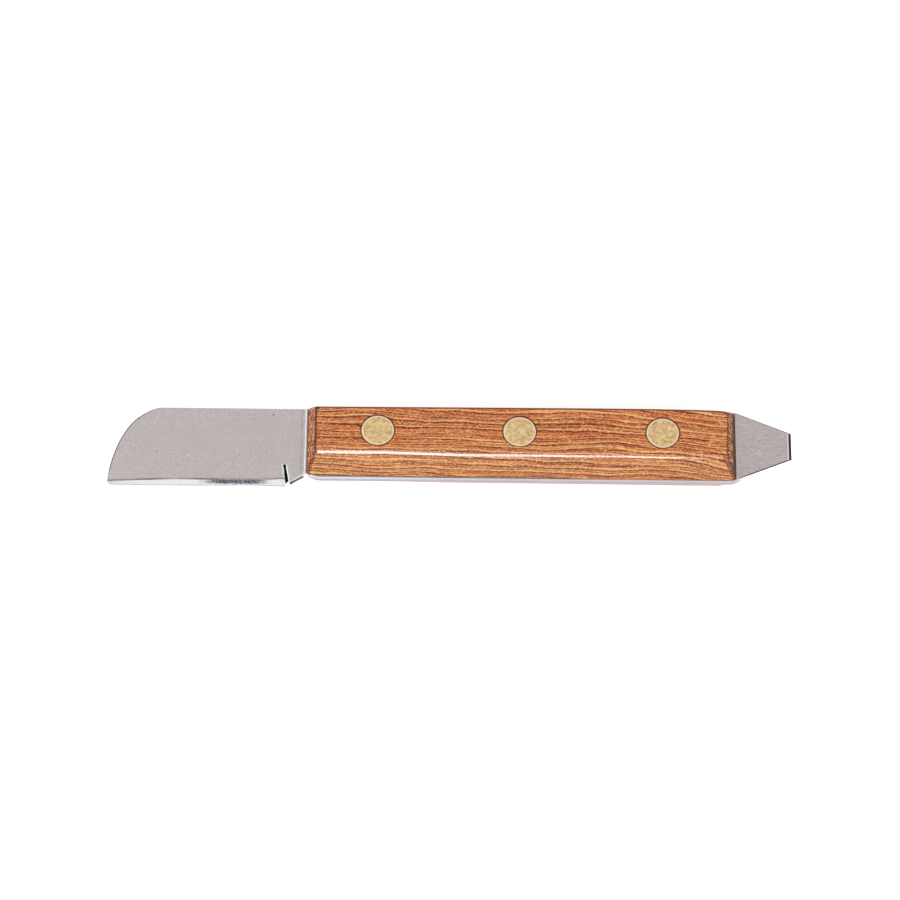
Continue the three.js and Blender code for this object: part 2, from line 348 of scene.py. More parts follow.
def pry_end_dark_reflection(name):
    """The pry tip's end bevel and end face, coloured nearly black: a painted dark reflection."""
    m = Nodes(name, (0.3, 0.26, 0.27), 1.0, 0.45)
    grain = m.noise(m.mm, (2.5, 2.5, 6.0), 3, 0.6, offset=(4, 4, 2))
    m.set(Base_Color=m.ramp(grain, [(0.35, (0.030, 0.018, 0.022)), (0.7, (0.085, 0.055, 0.062))]), Metallic=1.0,
          Roughness=m.math("MULTIPLY_ADD", grain, 0.2, 0.3))
    m.set(Normal=m.bump(grain, 0.2, 0.00004))
    return m.mat


def steel_line(name):
    """The thin dark brownish line round the nose and the pry tip, on the broken corner."""
    m = Nodes(name, (0.35, 0.30, 0.3), 1.0, 0.45)
    grain = m.noise(m.mm, (1.5, 1.5, 6.0), 3, 0.6, offset=(9, 4, 2))
    m.set(Base_Color=m.ramp(grain, [(0.35, (0.060, 0.032, 0.032)), (0.65, (0.150, 0.095, 0.098))]), Metallic=1.0,
          Roughness=m.math("MULTIPLY_ADD", grain, 0.2, 0.3))
    m.set(Normal=m.bump(grain, 0.2, 0.00004))
    return m.mat


def steel_burr_and_shade(name):
    """The ragged darker line where the honed bevel meets the ground face: partly a burr the stone leaves, partly
    painted shade of the crease.
    """
    m = Nodes(name, (0.4, 0.32, 0.3), 1.0, 0.4)
    ragged = m.noise(m.mm, (1.6, 2.6, 2.6), 4, 0.7, offset=(1, 7, 3))
    slow = m.noise(m.mm, (0.12, 0.2, 0.2), 2, 0.5, offset=(5, 2, 3))
    base = m.ramp(m.math("MULTIPLY_ADD", slow, 0.5, m.math("MULTIPLY", ragged, 0.5)),
                  [(0.40, (0.26, 0.17, 0.155)), (0.50, (0.46, 0.37, 0.365)), (0.60, (0.60, 0.52, 0.51))])
    m.set(Base_Color=base, Metallic=1.0, Roughness=m.math("MULTIPLY_ADD", ragged, 0.2, 0.25))
    m.set(Normal=m.bump(ragged, 0.3, 0.00004))
    return m.mat


def steel_filed(name):
    """The filed slope behind the heel, coloured blue-black as painted shade, paler along its lower side."""
    m = Nodes(name, (0.06, 0.06, 0.1), 1.0, 0.35)
    grain = m.noise(m.mm, (2.4, 2.4, 7.0), 3, 0.6, offset=(6, 2, 2))
    base = m.ramp(grain, [(0.35, (0.008, 0.008, 0.022)), (0.65, (0.060, 0.055, 0.11))])
    base = m.mix(m.step(m.xyz[2], -0.30, -0.18, 1.0, 0.0), base, (0.150, 0.142, 0.128))
    m.set(Base_Color=base, Metallic=1.0, Roughness=m.math("MULTIPLY_ADD", grain, 0.2, 0.25))
    m.set(Normal=m.bump(grain, 0.2, 0.00004))
    return m.mat


def steel_slit(name):
    """Inside of the heel slit: painted black, painted shade for the dark gap."""
    m = Nodes(name, (0.02, 0.02, 0.02), 0.0, 0.9)
    grain = m.noise(m.mm, (4, 4, 8), 3, 0.6)
    m.set(Base_Color=m.ramp(grain, [(0.3, (0.002, 0.002, 0.002)), (0.7, (0.012, 0.010, 0.010))]), Metallic=0.0,
          Roughness=m.math("MULTIPLY_ADD", grain, 0.2, 0.75))
    m.shader.inputs["Specular IOR Level"].default_value = 0.1
    return m.mat


# ------------------------------------------------------------------ wood
def rosewood(name, offset, lacquer):
    """Streaked reddish-brown rosewood under lacquer: ribbons, fine dark streaks, open pores; the sawn ends are bare,
    darker and dotted. Painted shade darkens the steep sides, the spine side's corner, the rear end and the foot along
    the steel.
    """
    m = Nodes(name, (0.5, 0.2, 0.08), 0.0, 0.35)
    x, y, z = m.xyz
    p = m.vmath("ADD", m.mm, offset)
    # slow wander of the grain, and its dip towards the pry tip
    wander = m.noise(p, (0.035, 0.10, 0.10), 2, 0.5)
    wander2 = m.noise(p, (0.11, 0.25, 0.25), 2, 0.5, offset=(11, 4, 2))
    dip = m.math("MULTIPLY", m.math("POWER", m.math("MAXIMUM", m.math("SUBTRACT", x, 46.0), 0.0), 2.0), 0.0032)
    shift = m.math("ADD", m.math("MULTIPLY_ADD", wander, 4.0, dip), m.math("MULTIPLY", wander2, 0.8))
    shift = m.math("MULTIPLY_ADD", x, 0.022, shift)
    px, py, pz = m.split(p)
    q = m.join(px, m.math("ADD", py, shift), m.math("MULTIPLY_ADD", shift, 0.4, pz))
    bands = m.noise(q, (0.010, 0.50, 0.40), 3, 0.55, offset=(1, 2, 3))
    streak = m.noise(q, (0.030, 2.3, 2.0), 3, 0.6, offset=(9, 5, 7))
    fibre = m.noise(q, (0.10, 4.6, 4.2), 3, 0.7, offset=(3, 8, 2))
    bead = m.noise(q, (1.0, 3.0, 3.0), 3, 0.65, offset=(6, 2, 9))
    hair = m.noise(q, (0.30, 8.5, 8.0), 2, 0.6, offset=(2, 12, 6))
    tone = m.math("MULTIPLY_ADD", bands, 0.15, m.math("MULTIPLY", streak, 0.20))
    tone = m.math("MULTIPLY_ADD", fibre, 0.24, tone)
    tone = m.math("MULTIPLY_ADD", hair, 0.17, tone)
    tone = m.math("MULTIPLY_ADD", bead, 0.24, tone)
    colour = m.ramp(tone, [
        (0.400, (0.285, 0.024, 0.005)),
        (0.445, (0.365, 0.052, 0.012)),
        (0.490, (0.455, 0.108, 0.027)),
        (0.530, (0.550, 0.200, 0.062)),
        (0.570, (0.680, 0.350, 0.140)),
        (0.620, (0.860, 0.580, 0.320)),
    ])
    # thin dark growth lines, each with a pale edge, broken here and there
    broken = m.noise(p, (0.07, 0.55, 0.55), 2, 0.5, offset=(7, 7, 3))
    _, qy, qz = m.split(q)
    # measured round the outside of the scale, from the middle of its flat down either side
    turn = m.math("MINIMUM", m.math("MAXIMUM", m.math("DIVIDE", y, 6.0), -1.0), 1.0)
    depth = m.math("SUBTRACT", FACE_Z, m.math("ABSOLUTE", z))
    across = m.math("MULTIPLY_ADD", m.math("MULTIPLY", turn, depth), 0.5, m.math("ADD", y, shift))
    jitter = m.noise(q, (0.9, 2.0, 2.0), 2, 0.6, offset=(4, 1, 18))
    broken_3 = m.noise(q, (0.09, 0.9, 0.9), 2, 0.5, offset=(1, 17, 5))

    def growth(per_mm, wander_by, offset):
        n = m.noise(q, (0.013, 0.40, 0.32), 2, 0.5, offset=offset)
        u = m.math("MULTIPLY_ADD", across, per_mm, m.math("MULTIPLY", n, wander_by))
        u = m.math("MULTIPLY_ADD", jitter, 0.18, u)
        return m.math("FRACT", u)
    line_1 = growth(0.60, 1.2, (4, 14, 5))
    line_2 = growth(0.95, 1.6, (14, 3, 8))
    pale = m.math("MULTIPLY", m.step(line_1, 0.64, 0.71), m.step(line_1, 0.74, 0.92, 0.65, 0.0))
    colour = m.mix(pale, colour, (0.83, 0.48, 0.155))
    dark_1 = m.step(m.math("ABSOLUTE", m.math("SUBTRACT", line_1, 0.5)), 0.035, 0.145, 1.0, 0.0)
    dark_1 = m.math("MULTIPLY", dark_1, m.step(broken, 0.36, 0.52, 0.25, 1.0))
    dark_2 = m.step(m.math("ABSOLUTE", m.math("SUBTRACT", line_2, 0.5)), 0.04, 0.175, 1.0, 0.0)
    dark_2 = m.math("MULTIPLY", dark_2, m.step(broken_3, 0.42, 0.56, 0.10, 0.92))
    colour = m.mix(dark_2, colour, (0.150, 0.009, 0.003))
    colour = m.mix(dark_1, colour, (0.105, 0.006, 0.002))
    # fine mauve and yellow specks
    speck = m.noise(q, (1.5, 3.9, 3.9), 2, 0.7, offset=(8, 18, 3))
    colour = m.mix(m.step(speck, 0.34, 0.44, 0.62, 0.0), colour, (0.260, 0.062, 0.058))
    colour = m.mix(m.step(speck, 0.55, 0.65, 0.0, 0.58), colour, (0.880, 0.570, 0.280))
    # pores: short, thin, along the grain
    pore = m.noise(q, (0.22, 3.4, 3.0), 2, 0.5, offset=(5, 3, 12))
    pore_more = m.noise(p, (0.05, 0.3, 0.3), 2, 0.5, offset=(2, 7, 1))
    pores = m.math("MULTIPLY", m.step(pore, 0.62, 0.70), m.step(pore_more, 0.40, 0.58, 0.25, 1.0))
    colour = m.mix(m.math("MULTIPLY", pores, 0.55), colour, (0.190, 0.055, 0.040))
    # pale flecks
    fleck = m.noise(q, (0.30, 3.9, 3.4), 2, 0.5, offset=(15, 1, 4))
    colour = m.mix(m.step(fleck, 0.66, 0.75, 0.0, 0.65), colour, (0.90, 0.60, 0.30))
    # painted shade: the steep side faces are coloured darker
    side_face_shade = m.step(m.math("ABSOLUTE", m.nxyz[1]), 0.55, 0.82)
    colour = m.mix(side_face_shade, colour, m.mix(1.0, colour, (0.77, 0.83, 0.78), "MULTIPLY"))
    # sawn ends: bare end grain, a little darker, and darker towards the steel; the rear end is painted much darker
    # still, painted shade as it faces away from the light
    ends = m.step(m.math("ABSOLUTE", m.nxyz[0]), 0.45, 0.80)
    end_grain_and_shade = m.math("MULTIPLY", ends, m.step(x, -10, 30, 0.06, 0.58))
    colour = m.mix(end_grain_and_shade, colour, m.mix(m.step(m.math("ABSOLUTE", z), 1.0, 7.5), (0.050, 0.030, 0.020), (0.150, 0.060, 0.040)))
    grain_end = m.noise(p, (1.4, 1.7, 0.6), 3, 0.7, offset=(3, 1, 1))
    colour = m.mix(m.math("MULTIPLY", ends, m.step(grain_end, 0.43, 0.50, 0.90, 0.0)), colour, (0.230, 0.036, 0.014))
    colour = m.mix(m.math("MULTIPLY", ends, m.step(grain_end, 0.52, 0.59, 0.0, 0.85)), colour, (0.92, 0.50, 0.24))
    strip = m.math("MULTIPLY", m.math("MULTIPLY", ends, m.step(x, 40, 60)), m.step(m.math("ABSOLUTE", z), 2.7, 4.6, 1.0, 0.0))
    colour = m.mix(m.math("MULTIPLY", strip, m.step(grain_end, 0.60, 0.70, 0.9, 0.25)), colour, (0.055, 0.045, 0.028))
    # a darker ring round each rivet, and painted shade along the foot where the wood meets the steel
    for rx in RIVET_X:
        d = m.vmath("LENGTH", m.join(m.math("SUBTRACT", x, rx), y, 0.0), (0, 0, 0))
        d = m.math("MULTIPLY_ADD", m.math("SUBTRACT", bead, 0.5), 0.5, d)
        colour = m.mix(m.step(d, HEAD_R + 0.15, HEAD_R + 0.50, 0.92, 0.0), colour, (0.13, 0.016, 0.007))
    colour = m.mix(m.step(m.math("ABSOLUTE", z), HALF_T + 0.05, HALF_T + 0.55, 0.65, 0.0), colour, (0.10, 0.030, 0.014))
    arris = m.math("MULTIPLY", m.step(m.math("ABSOLUTE", m.nxyz[0]), 0.06, 0.18), m.step(m.math("ABSOLUTE", m.nxyz[0]), 0.78, 0.92, 1.0, 0.0))
    foot = m.math("MULTIPLY", ends, m.step(m.math("ABSOLUTE", z), 2.2, 3.2, 1.0, 0.0))
    border = m.math("MULTIPLY", m.math("MAXIMUM", arris, foot), m.step(bead, 0.35, 0.62, 0.95, 0.55))
    colour = m.mix(border, colour, (0.120, 0.018, 0.006))
    # near-black in the corner between the rear facet and the steel
    rear_corner_dark = m.math("MULTIPLY", m.math("MULTIPLY", ends, m.step(x, 60, 62)), m.step(m.math("ABSOLUTE", z), 4.0, 5.8, 1.0, 0.0))
    colour = m.mix(m.math("MULTIPLY", rear_corner_dark, m.step(bead, 0.34, 0.62, 0.95, 0.60)), colour, (0.048, 0.040, 0.024))
    # painted shade on the rounded corner along the spine side, which faces away from the light
    corner = m.math("MULTIPLY", m.step(m.nxyz[1], 0.12, 0.30), m.step(m.nxyz[1], 0.80, 0.90, 1.0, 0.0))
    colour = m.mix(m.math("MULTIPLY", corner, 0.9), colour, (0.190, 0.028, 0.010))
    # dark line along the front facet's upper border
    ridge = m.math("MULTIPLY", m.step(m.math("ABSOLUTE", m.math("ADD", x, 34.80)), 0.16, 0.44, 0.95, 0.0),
                   m.step(m.math("ABSOLUTE", z), FACE_Z - 1.3, FACE_Z - 0.6))
    ridge = m.math("MULTIPLY", ridge, m.step(y, -6.6, -5.6))
    colour = m.mix(m.math("MULTIPLY", ridge, m.step(bead, 0.34, 0.60, 1.0, 0.6)), colour, (0.120, 0.016, 0.008))
    for sx, sr in ((-34.6, 0.9), (72.0, 0.8)):
        spot = m.math("MULTIPLY", m.step(m.math("ABSOLUTE", m.math("SUBTRACT", x, sx)), sr * 0.5, sr, 1.0, 0.0), m.step(y, 5.6, 6.4))
        spot = m.math("MULTIPLY", spot, m.step(z, FACE_Z - 1.6, FACE_Z - 0.9))
        colour = m.mix(m.math("MULTIPLY", spot, m.step(bead, 0.36, 0.60, 0.95, 0.55)), colour, (0.030, 0.014, 0.012))
    m.set(Base_Color=colour, Metallic=0.0)
    rough = m.math("MULTIPLY_ADD", pores, 0.25, m.math("MULTIPLY_ADD", fibre, 0.18, 0.30))
    m.set(Roughness=m.math("MULTIPLY_ADD", ends, 0.15, rough))
    m.shader.inputs["Coat Weight"].default_value = lacquer
    m.shader.inputs["Coat Roughness"].default_value = 0.13
    m.shader.inputs["Coat IOR"].default_value = 1.6
    m.shader.inputs["Specular IOR Level"].default_value = 0.12
    height = m.math("SUBTRACT", m.math("MULTIPLY_ADD", fibre, 0.5, m.math("MULTIPLY", streak, 0.4)), m.math("MULTIPLY", pores, 0.9))
    m.set(Normal=m.bump(height, 0.35, 0.00008))
    return m.mat


# ------------------------------------------------------------------ brass
def brass(name, rivet_x, offset):
    """Rivet head ground flush: pale brass, mottled and finely scratched, with a bright ring near the rim, a painted
    highlight.
    """
    m = Nodes(name, (0.7, 0.5, 0.25), 1.0, 0.35)
    x, y, z = m.xyz
    p = m.vmath("ADD", m.mm, offset)
    mottle = m.noise(p, (0.75, 0.85, 0.85), 4, 0.65)
    grit = m.noise(p, (3.0, 3.2, 3.2), 3, 0.65, offset=(3, 6, 2))
    scratch = m.noise(p, (0.5, 6.5, 6.5), 3, 0.6, offset=(8, 1, 5))
    base = m.ramp(mottle, [(0.36, (0.61, 0.352, 0.160)), (0.50, (0.94, 0.615, 0.280)), (0.63, (1.0, 0.84, 0.49))])
    base = m.mix(m.step(grit, 0.50, 0.72, 0.0, 0.50), base, (0.54, 0.345, 0.14))
    base = m.mix(m.step(scratch, 0.58, 0.74, 0.0, 0.5), base, (0.98, 0.84, 0.55))
    d = m.vmath("LENGTH", m.join(m.math("SUBTRACT", x, rivet_x), y, 0.0), (0, 0, 0))
    # painted highlight: a bright ring just inside the rim
    base = m.mix(m.step(d, HEAD_R - 0.58, HEAD_R - 0.34, 0.0, 0.95), base, (1.0, 0.89, 0.60))
    base = m.mix(m.step(d, 1.2, 3.0, 0.22, 0.0), base, (1.0, 0.86, 0.54))
    m.set(Base_Color=base, Metallic=1.0)
    m.set(Roughness=m.math("MULTIPLY_ADD", grit, 0.22, m.math("MULTIPLY_ADD", mottle, 0.10, 0.20)))
    m.set(Normal=m.bump(m.math("MULTIPLY_ADD", scratch, 0.6, m.math("MULTIPLY", grit, 0.4)), 0.30, 0.00004))
    return m.mat


# ------------------------------------------------------------------ the steel blank
NOSE = soft_line([
    (0.0, -11.15), (0.08, -10.0), (0.2, -8.85), (0.55, -6.76), (1.08, -4.44), (1.78, -2.12), (2.66, 0.22),
    (3.82, 2.56), (5.3, 4.91), (6.95, 6.75), (8.6, 8.0), (10.2, 8.95), (11.7, 9.6), (12.7, 9.88), (13.3, 9.98)])
NOSE = np.vstack([[(0.95, -12.12), (0.55, -12.0), (0.2, -11.6)], NOSE])
nose_x = lambda y: TIP + float(np.interp(y, NOSE[:, 1], NOSE[:, 0]))
EDGE = soft_line([(-90, -12.12), (-84, -12.18), (-77.8, -12.2), (-71, -12.19), (-64.8, -12.16), (-60, -12.07), (-54.4, -11.98),
                  (-48.7, -12.02), (-44, -12.16), (-41, -12.19)])
edge_y = lambda x: float(np.interp(x, EDGE[:, 0], EDGE[:, 1]))
FOOT = soft_line([(-91, -11.42), (-88.7, -11.3), (-83, -11.02), (-77.8, -10.86), (-71.3, -10.67), (-64, -10.68), (-57, -10.71),
                  (-52, -10.68), (-48.7, -10.61), (-44.6, -10.42), (-41, -10.38)])
foot_y = lambda x: float(np.interp(x, FOOT[:, 0], FOOT[:, 1]))
belly_y = line([(-42.3, -12.16), (-41.95, -12.16), (-41.45, -11.28), (-38.37, -9.38), (-37.35, -8.93), (-36.84, -8.84), (-36.4, -8.96), (-35.9, -9.2),
                (-35.2, -9.52), (-34.5, -9.72), (-33.7, -9.8), (73.4, -9.8), (BUTT, -3.4)])
top_y = line([(-76, SPINE), (74.7, SPINE), (BUTT, 4.1)])


def half_thickness(x, y, blade):
    foot = foot_y(x)
    share = clamp((SPINE - y) / (SPINE - foot))
    belly = 0.62 - 0.20 * (1 - smooth(-90, -70, x)) + (0.90 - 0.62) * smooth(-47.5, -39.2, x)
    spine = 1.02 - 0.10 * smooth(-60, -39.2, x)
    wedge = spine + (belly - spine) * share
    rise = clamp((x + 38.0) / 0.58)
    h = wedge + (HALF_T - wedge) * rise * rise
    if blade and y < foot:
        t = clamp((foot - y) / (foot - edge_y(x)))
        h = h + (0.06 - h) * t
    if x > BUTT - 0.64:
        h -= 0.34 * (x - BUTT + 0.64) / 0.64
    return h


def make_blank(mats):
    rows_fixed = [9.98, 9.72, 9.35, 8.9, 8.35, 7.7, 7.0, 6.25, 5.4, 4.5, 3.75, 3.0, 2.25, 1.5, 0.75, 0.0, -0.75, -1.5, -2.25, -3.0,
                  -3.75, -4.5, -5.4, SLIT_TOP_Y]
    n_between = 6
    bevel_steps = (0.3, 0.6, 0.86, 1.0)
    NR = len(rows_fixed) + n_between + len(bevel_steps)          # rows, spine to edge
    foot_row = len(rows_fixed) + n_between - 1
    slit_row = len(rows_fixed) - 1
    col = []     # (kind, X at the spine, pull towards the slit's slope)
    M = 26
    for k in range(M):
        col.append(("nose", (k / M) ** 1.25, 0))
    xs = list(np.linspace(-73.0, -47.5, 22)) + list(np.linspace(-47.5, -43.65, 11))[1:]
    col += [("blade", x, 0) for x in xs]
    n_left = len(col)
    col += [("blade", SLIT_X0 - 0.32, 1), ("slit", SLIT_X0 - 0.23, 1), ("slit", SLIT_X0, 1), ("slit", SLIT_X0 + 0.23, 1),
            ("tang", SLIT_X0 + 0.32, 1)]
    xs = [-42.2, -41.7, -41.2, -40.7, -40.2, -39.7, -39.3, -39.0] + [-38.6, -38.0] + list(np.linspace(-38.0, -37.42, 11))[1:]
    xs += [-37.3, -37.1, -36.84, -36.6, -36.4, -36.15, -35.9, -35.55, -35.2, -34.85, -34.5, -34.1, -33.7]
    prev = -33.7
    for rx in RIVET_X:
        xs += list(np.linspace(prev, rx - 4.5, max(2, int((rx - 4.5 - prev) / 2.6) + 1)))[1:]
        xs += [rx - 4.5 + 0.75 * k for k in range(1, 13)]
        prev = rx + 4.5
    xs += list(np.linspace(prev, 73.4, 6))[1:]
    xs += [74.1, 74.7, 75.2, 75.7] + list(np.linspace(75.7, BUTT - 1.0, 12))[1:] + [BUTT - 0.68, BUTT - 0.64, BUTT - 0.3, BUTT]
    col += [("tang", x, 0) for x in xs]
    NC = len(col)
    i_left, i_right = n_left, n_left + 4

    def column(i, side):
        kind, X, _ = col[i]
        pts = []
        for j in range(NR):
            if kind == "nose":
                xr = -73.0
            else:
                xr = X
            blade = kind in ("nose", "blade")

            def y_at(x):
                hi = top_y(x)
                lo = edge_y(x) if blade else belly_y(x)
                ft = foot_y(x) if blade else lo + 0.62
                if j <= slit_row:
                    y = rows_fixed[j]
                    if x > 73.4:      # the pry tip squeezes the rows together
                        y = lo + (y + 9.8) / (SPINE + 9.8) * (hi - lo)
                    return y
                base = SLIT_TOP_Y if x <= 73.4 else lo + (SLIT_TOP_Y + 9.8) / (SPINE + 9.8) * (hi - lo)
                if x > 73.4:
                    ft = lo + (hi - lo) * 0.62 / 19.78
                if j < foot_row:
                    return base + (ft + 0.48 - base) * (j - slit_row) / (foot_row - 1 - slit_row)
                if j == foot_row:
                    return ft
                return ft + (lo - ft) * bevel_steps[j - foot_row - 1]
            x = xr
            y = y_at(x)
            if kind == "nose":
                # transfinite: the first column lies on the nose, the next ones straighten
                s = X
                for _ in range(3):
                    x = (1 - s) * nose_x(y) + s * (-73.0)
                    y = y_at(x)
                if s == 0 and j == NR - 1:
                    y = -12.12
                    x = nose_x(y)
            else:
                # near the slit the columns lean with it
                d = abs(X - SLIT_X0) - 0.32
                k = clamp(1 - d / 2.6) if d > 0 else 1.0
                k = k * k * (3 - 2 * k)
                for _ in range(3):
                    drop = clamp((SLIT_TOP_Y - y) / 6.27)
                    if side > 0:
                        move = (0.13 * drop) * (1 if X > SLIT_X0 else -1 if X < SLIT_X0 else 0)
                    else:                     # underside: the mouth is narrower and set towards the tip
                        move = -(0.55 + 0.35 * drop) * smooth(-4.0, -6.2, y)
                        move *= 0.55 if X < SLIT_X0 - 0.05 else 0.78 if X < SLIT_X0 + 0.05 else 1 - 1.5 * smooth(-11.1, -11.7, y)
                    x = xr + k * (1.03 * drop + move)
                    y = y_at(x)
            if kind == "slit" and j == slit_row:
                y = SLIT_TOP_Y + math.sqrt(0.32 ** 2 - (X - SLIT_X0) ** 2)
            pts.append((x, y, half_thickness(x, y, blade)))
        return pts

    def sheet(side):
        V, grid = [], -np.ones((NC, NR), int)
        for i in range(NC):
            pts = column(i, side)
            for j in range(NR):
                if i_left < i < i_right and j > slit_row:
                    continue
                grid[i, j] = len(V)
                x, y, h = pts[j]
                V.append([x, y, side * h])
        F, kinds = [], []
        holes = []
        for rx in RIVET_X:
            ci = [i for i in range(NC) if col[i][0] == "tang" and rx - 4.51 < col[i][1] < rx + 4.51]
            rj = [j for j in range(len(rows_fixed)) if abs(rows_fixed[j]) < 4.51]
            holes.append((rx, ci[0], ci[-1], rj[0], rj[-1]))
        for i in range(NC - 1):
            for j in range(NR - 1):
                if i_left <= i < i_right and j >= slit_row:
                    continue
                if any(a <= i < b and c <= j < d for _, a, b, c, d in holes):
                    continue
                F.append((grid[i, j], grid[i + 1, j], grid[i + 1, j + 1], grid[i, j + 1]))
                if col[i + 1][0] in ("nose", "blade") and j >= foot_row - 1:
                    kinds.append(5 if j == foot_row - 1 else 2 if j == NR - 2 else 1)
                else:
                    X = col[i][1]
                    # at the pry tip: a bright strip in the bevel material, a painted highlight, then the end in the
                    # dark material, a painted dark reflection
                    kinds.append(4 if X > BUTT - 0.67 else 1 if X > BUTT - 1.01 else 0)
        for rx, a, b, c, d in holes:
            ring = [grid[i, c] for i in range(a, b)] + [grid[b, j] for j in range(c, d)]
            ring += [grid[i, d] for i in range(b, a, -1)] + [grid[a, j] for j in range(d, c, -1)]
            loops = [ring]
            for r, w in ((3.6, 0.5), (2.5, 1.0)):
                new = []
                for v in ring:
                    x, y, z = V[v]
                    ang = math.atan2(y, x - rx)
                    cx, cy = rx + 2.5 * math.cos(ang), 2.5 * math.sin(ang)
                    new.append(len(V))
                    V.append([x + (cx - x) * w, y + (cy - y) * w, z])
                loops.append(new)
            for p, q in zip(loops, loops[1:]):
                for k in range(len(p)):
                    k2 = (k + 1) % len(p)
                    F.append((p[k], p[k2], q[k2], q[k]))
                    kinds.append(0)
        used = sorted({v for f in F for v in f})
        remap = {v: k for k, v in enumerate(used)}
        return [V[v] for v in used], [tuple(remap[v] for v in f) for f in F], kinds

    V, F, kinds = sheet(1)
    V2, F2, kinds2 = sheet(-1)
    assert F == F2
    # border loops of the sheet
    count = {}
    for f in F:
        for a, b in zip(f, f[1:] + f[:1]):
            count[(a, b)] = count.get((a, b), 0) + 1
    nxt = {}
    for (a, b) in count:
        if (b, a) not in count:
            nxt[a] = b
    loops, seen = [], set()
    for a in nxt:
        if a in seen:
            continue
        loop = []
        while a not in seen:
            seen.add(a)
            loop.append(a)
            a = nxt[a]
        loops.append(loop)

    def corner_radius(x, y):
        """How much the corner between face and outline is broken."""
        if -41.75 < x < -37.2 and y < -8.8 and abs(y - belly_y(x)) < 0.1:
            return 0.09 + 0.33 * clamp((x + 41.75) / 1.2)  # filed slope behind the heel
        if -43.9 < x < -41.0 and y < -5.9 and y > edge_y(x) + 0.02:
            return 0.10                                   # slit
        if x < -41.5 and y < -11.3:
            return 0.012                                  # cutting edge
        if x < -88.2 and y < -10.4:
            return 0.03
        if min(math.hypot(x - rx, y) for rx in RIVET_X) < 3:
            return 0.05
        if x < -75.9 and y > -10.6:
            return 0.36                                   # round the nose
        if x > 75.0:
            return 0.05 if x > BUTT - 0.1 else 0.24       # pry tip
        if x > -35 and y < 0:
            return 0.05
        return 0.13

    parts_v, parts_f, parts_m = [], [], []

    def add_sheet(vs, fs, ks, flip):
        base = len(parts_v)
        parts_v.extend([list(v) for v in vs])
        for f, k in zip(fs, ks):
            parts_f.append(tuple(base + v for v in (f if flip else f[::-1])))
            parts_m.append(k)
        return base

    top = add_sheet(V, F, kinds, False)
    bottom = add_sheet(V2, F2, kinds2, True)

    def outline(loop, src):
        """Points of a border loop, the way into the metal at each, the radius of its broken corner, and the half thickness."""
        P = np.array([src[v][:2] for v in loop])
        prev, nex = np.roll(P, 1, 0), np.roll(P, -1, 0)
        d1, d2 = P - prev, nex - P
        d1 /= np.linalg.norm(d1, axis=1)[:, None] + 1e-12
        d2 /= np.linalg.norm(d2, axis=1)[:, None] + 1e-12
        n1, n2 = np.stack([d1[:, 1], -d1[:, 0]], 1), np.stack([d2[:, 1], -d2[:, 0]], 1)
        m = n1 + n2
        m /= np.maximum((m * m).sum(1) / 2, 0.9)[:, None]
        radii = np.array([corner_radius(*p) for p in P])
        for _ in range(4):
            radii = np.minimum(radii, 0.5 * np.roll(radii, 1) + 0.5 * radii + 0.01)
            radii = np.minimum(radii, 0.5 * np.roll(radii, -1) + 0.5 * radii + 0.01)
        h = np.array([abs(src[v][2]) for v in loop])
        return P, m, np.minimum(radii, h * 0.6), h

    # the sheets make room for the broken corners, so that nothing folds
    border = {v for loop in loops for v in loop}
    for src, base in ((V, top), (V2, bottom)):
        found = [outline(loop, src) for loop in loops]
        LP = np.vstack([f[0] for f in found])
        push = np.vstack([f[1] * f[2][:, None] for f in found])
        for v, (x, y, _) in enumerate(src):
            if v in border:
                continue
            away = np.hypot(LP[:, 0] - x, LP[:, 1] - y)
            k = int(away.argmin())
            if away[k] < 1.8:
                share = 1 / (away ** 4 + 1e-7)
                move = (push * share[:, None]).sum(0) / share.sum() * (1 - away[k] / 1.8)
                parts_v[base + v][0] += move[0]
                parts_v[base + v][1] += move[1]
    steps = 3
    for loop in loops:
        n = len(loop)
        rings = {}
        for side, src, base in ((1, V, top), (-1, V2, bottom)):
            P, m, radii, h = outline(loop, src)
            # the lip over the filed slope is broad and shallow
            flat = np.array([0.40 if -41.75 < x < -37.2 and y < -8.8 and abs(y - belly_y(x)) < 0.1 else 1.0 for x, y in P])
            chain = []
            for s in range(steps + 1):
                a = (s / steps) * math.pi / 2
                q = P + m * (radii * (1 - math.sin(a)))[:, None]
                z = h - radii * flat * (1 - math.cos(a))
                if s == 0:
                    for k, v in enumerate(loop):
                        parts_v[base + v][0], parts_v[base + v][1] = q[k]
                    chain.append([base + v for v in loop])
                else:
                    idx = []
                    for k in range(n):
                        idx.append(len(parts_v))
                        parts_v.append([q[k][0], q[k][1], side * z[k]])
                    chain.append(idx)
            rings[side] = chain
        up, dn = rings[1], rings[-1]
        P = np.array([V[v][:2] for v in loop])

        def wall_kind(k, outer):
            x, y = (P[k] + P[(k + 1) % n]) / 2
            diagonal = -41.8 < x < -37.0 and y < -8.8 and abs(y - belly_y(x)) < 0.1
            if -43.9 < x < -41.2 and y < -5.9 and not diagonal and y > edge_y(x) + 0.02:
                # black inside, painted shade; bright broken lip in the bevel material, a painted highlight
                if outer == 2:
                    return 3 if y > -10.95 else 1
                return 3 if outer == 5 or y > SLIT_TOP_Y - 0.12 else 1
            if diagonal:
